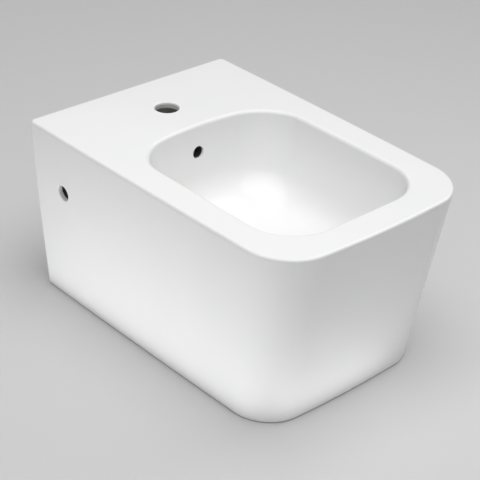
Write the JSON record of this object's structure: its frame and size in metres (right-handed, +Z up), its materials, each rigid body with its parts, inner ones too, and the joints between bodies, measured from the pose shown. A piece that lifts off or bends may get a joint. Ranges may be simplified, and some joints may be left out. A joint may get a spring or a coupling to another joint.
{
  "type": "bidet",
  "caption": "Wall-hung bidet with a tapered square body, rounded basin, tap hole, overflow, concealed side fixings and a push-open waste.",
  "frame": {"origin": "on the wall plane, midway between the two wall studs, 188 mm above the underside", "axes": "+X to the right as seen from the front, +Y into the wall, +Z up"},
  "size_m": [0.3596, 0.5231, 0.277],
  "materials": {
    "glazed_china": "white gloss glaze",
    "zinc_plated_steel": "bright zinc plating, satin",
    "black_nylon": "moulded, matt",
    "chromed_brass": "polished chrome",
    "bare_brass": "turned, bare",
    "seal_rubber": "matt",
    "white_acetal": "moulded, satin",
    "stainless_steel": "turned, bright"
  },
  "bodies": {
    "fixed_body": {"ceramic_body": "glazed_china", "bracket_left": "zinc_plated_steel", "bracket_right": "zinc_plated_steel", "stud_washer_left": "zinc_plated_steel", "stud_washer_right": "zinc_plated_steel", "stud_nut_left": "zinc_plated_steel", "stud_nut_right": "zinc_plated_steel", "bracket_nut_left": "zinc_plated_steel", "bracket_nut_right": "zinc_plated_steel", "waste_body": "chromed_brass", "waste_top_seal": "seal_rubber", "waste_cone_washer": "seal_rubber", "waste_slip_ring": "white_acetal", "waste_back_nut": "bare_brass", "plug_cartridge": "white_acetal", "plug_spring": "stainless_steel"},
    "cone_left": {"clamp_cone_left": "black_nylon"},
    "cone_right": {"clamp_cone_right": "black_nylon"},
    "screw_left": {"clamp_screw_left": "zinc_plated_steel"},
    "screw_right": {"clamp_screw_right": "zinc_plated_steel"},
    "plug": {"plug_dome": "chromed_brass", "plug_seal": "seal_rubber", "plug_plunger": "stainless_steel"}
  },
  "joints": [
    {"name": "plug_press", "type": "slide", "parent": "fixed_body", "child": "plug", "axis": [0, 0, 1], "range_m": [-0.0085, 0], "stiffness_N_per_m": 600, "springref_m": 0.008, "deforming": ["plug_spring"]},
    {"name": "cone_left_slide", "type": "slide", "parent": "fixed_body", "child": "cone_left", "axis": [-1, 0, 0], "range_m": [-0.008, 0]},
    {"name": "cone_right_slide", "type": "slide", "parent": "fixed_body", "child": "cone_right", "axis": [1, 0, 0], "range_m": [-0.008, 0]},
    {"name": "screw_left_turn", "type": "hinge", "parent": "cone_left", "child": "screw_left", "pos_m": [-0.15, -0.071, 0], "axis": [-1, 0, 0], "range_deg": [-1645.8, 0]},
    {"name": "screw_right_turn", "type": "hinge", "parent": "cone_right", "child": "screw_right", "pos_m": [0.15, -0.071, 0], "axis": [1, 0, 0], "range_deg": [-1645.8, 0]}
  ],
  "couplings": [
    {"joint": "screw_left_turn", "follows": "cone_left_slide", "rad_per_m": 3590.4},
    {"joint": "screw_right_turn", "follows": "cone_right_slide", "rad_per_m": 3590.4}
  ]
}
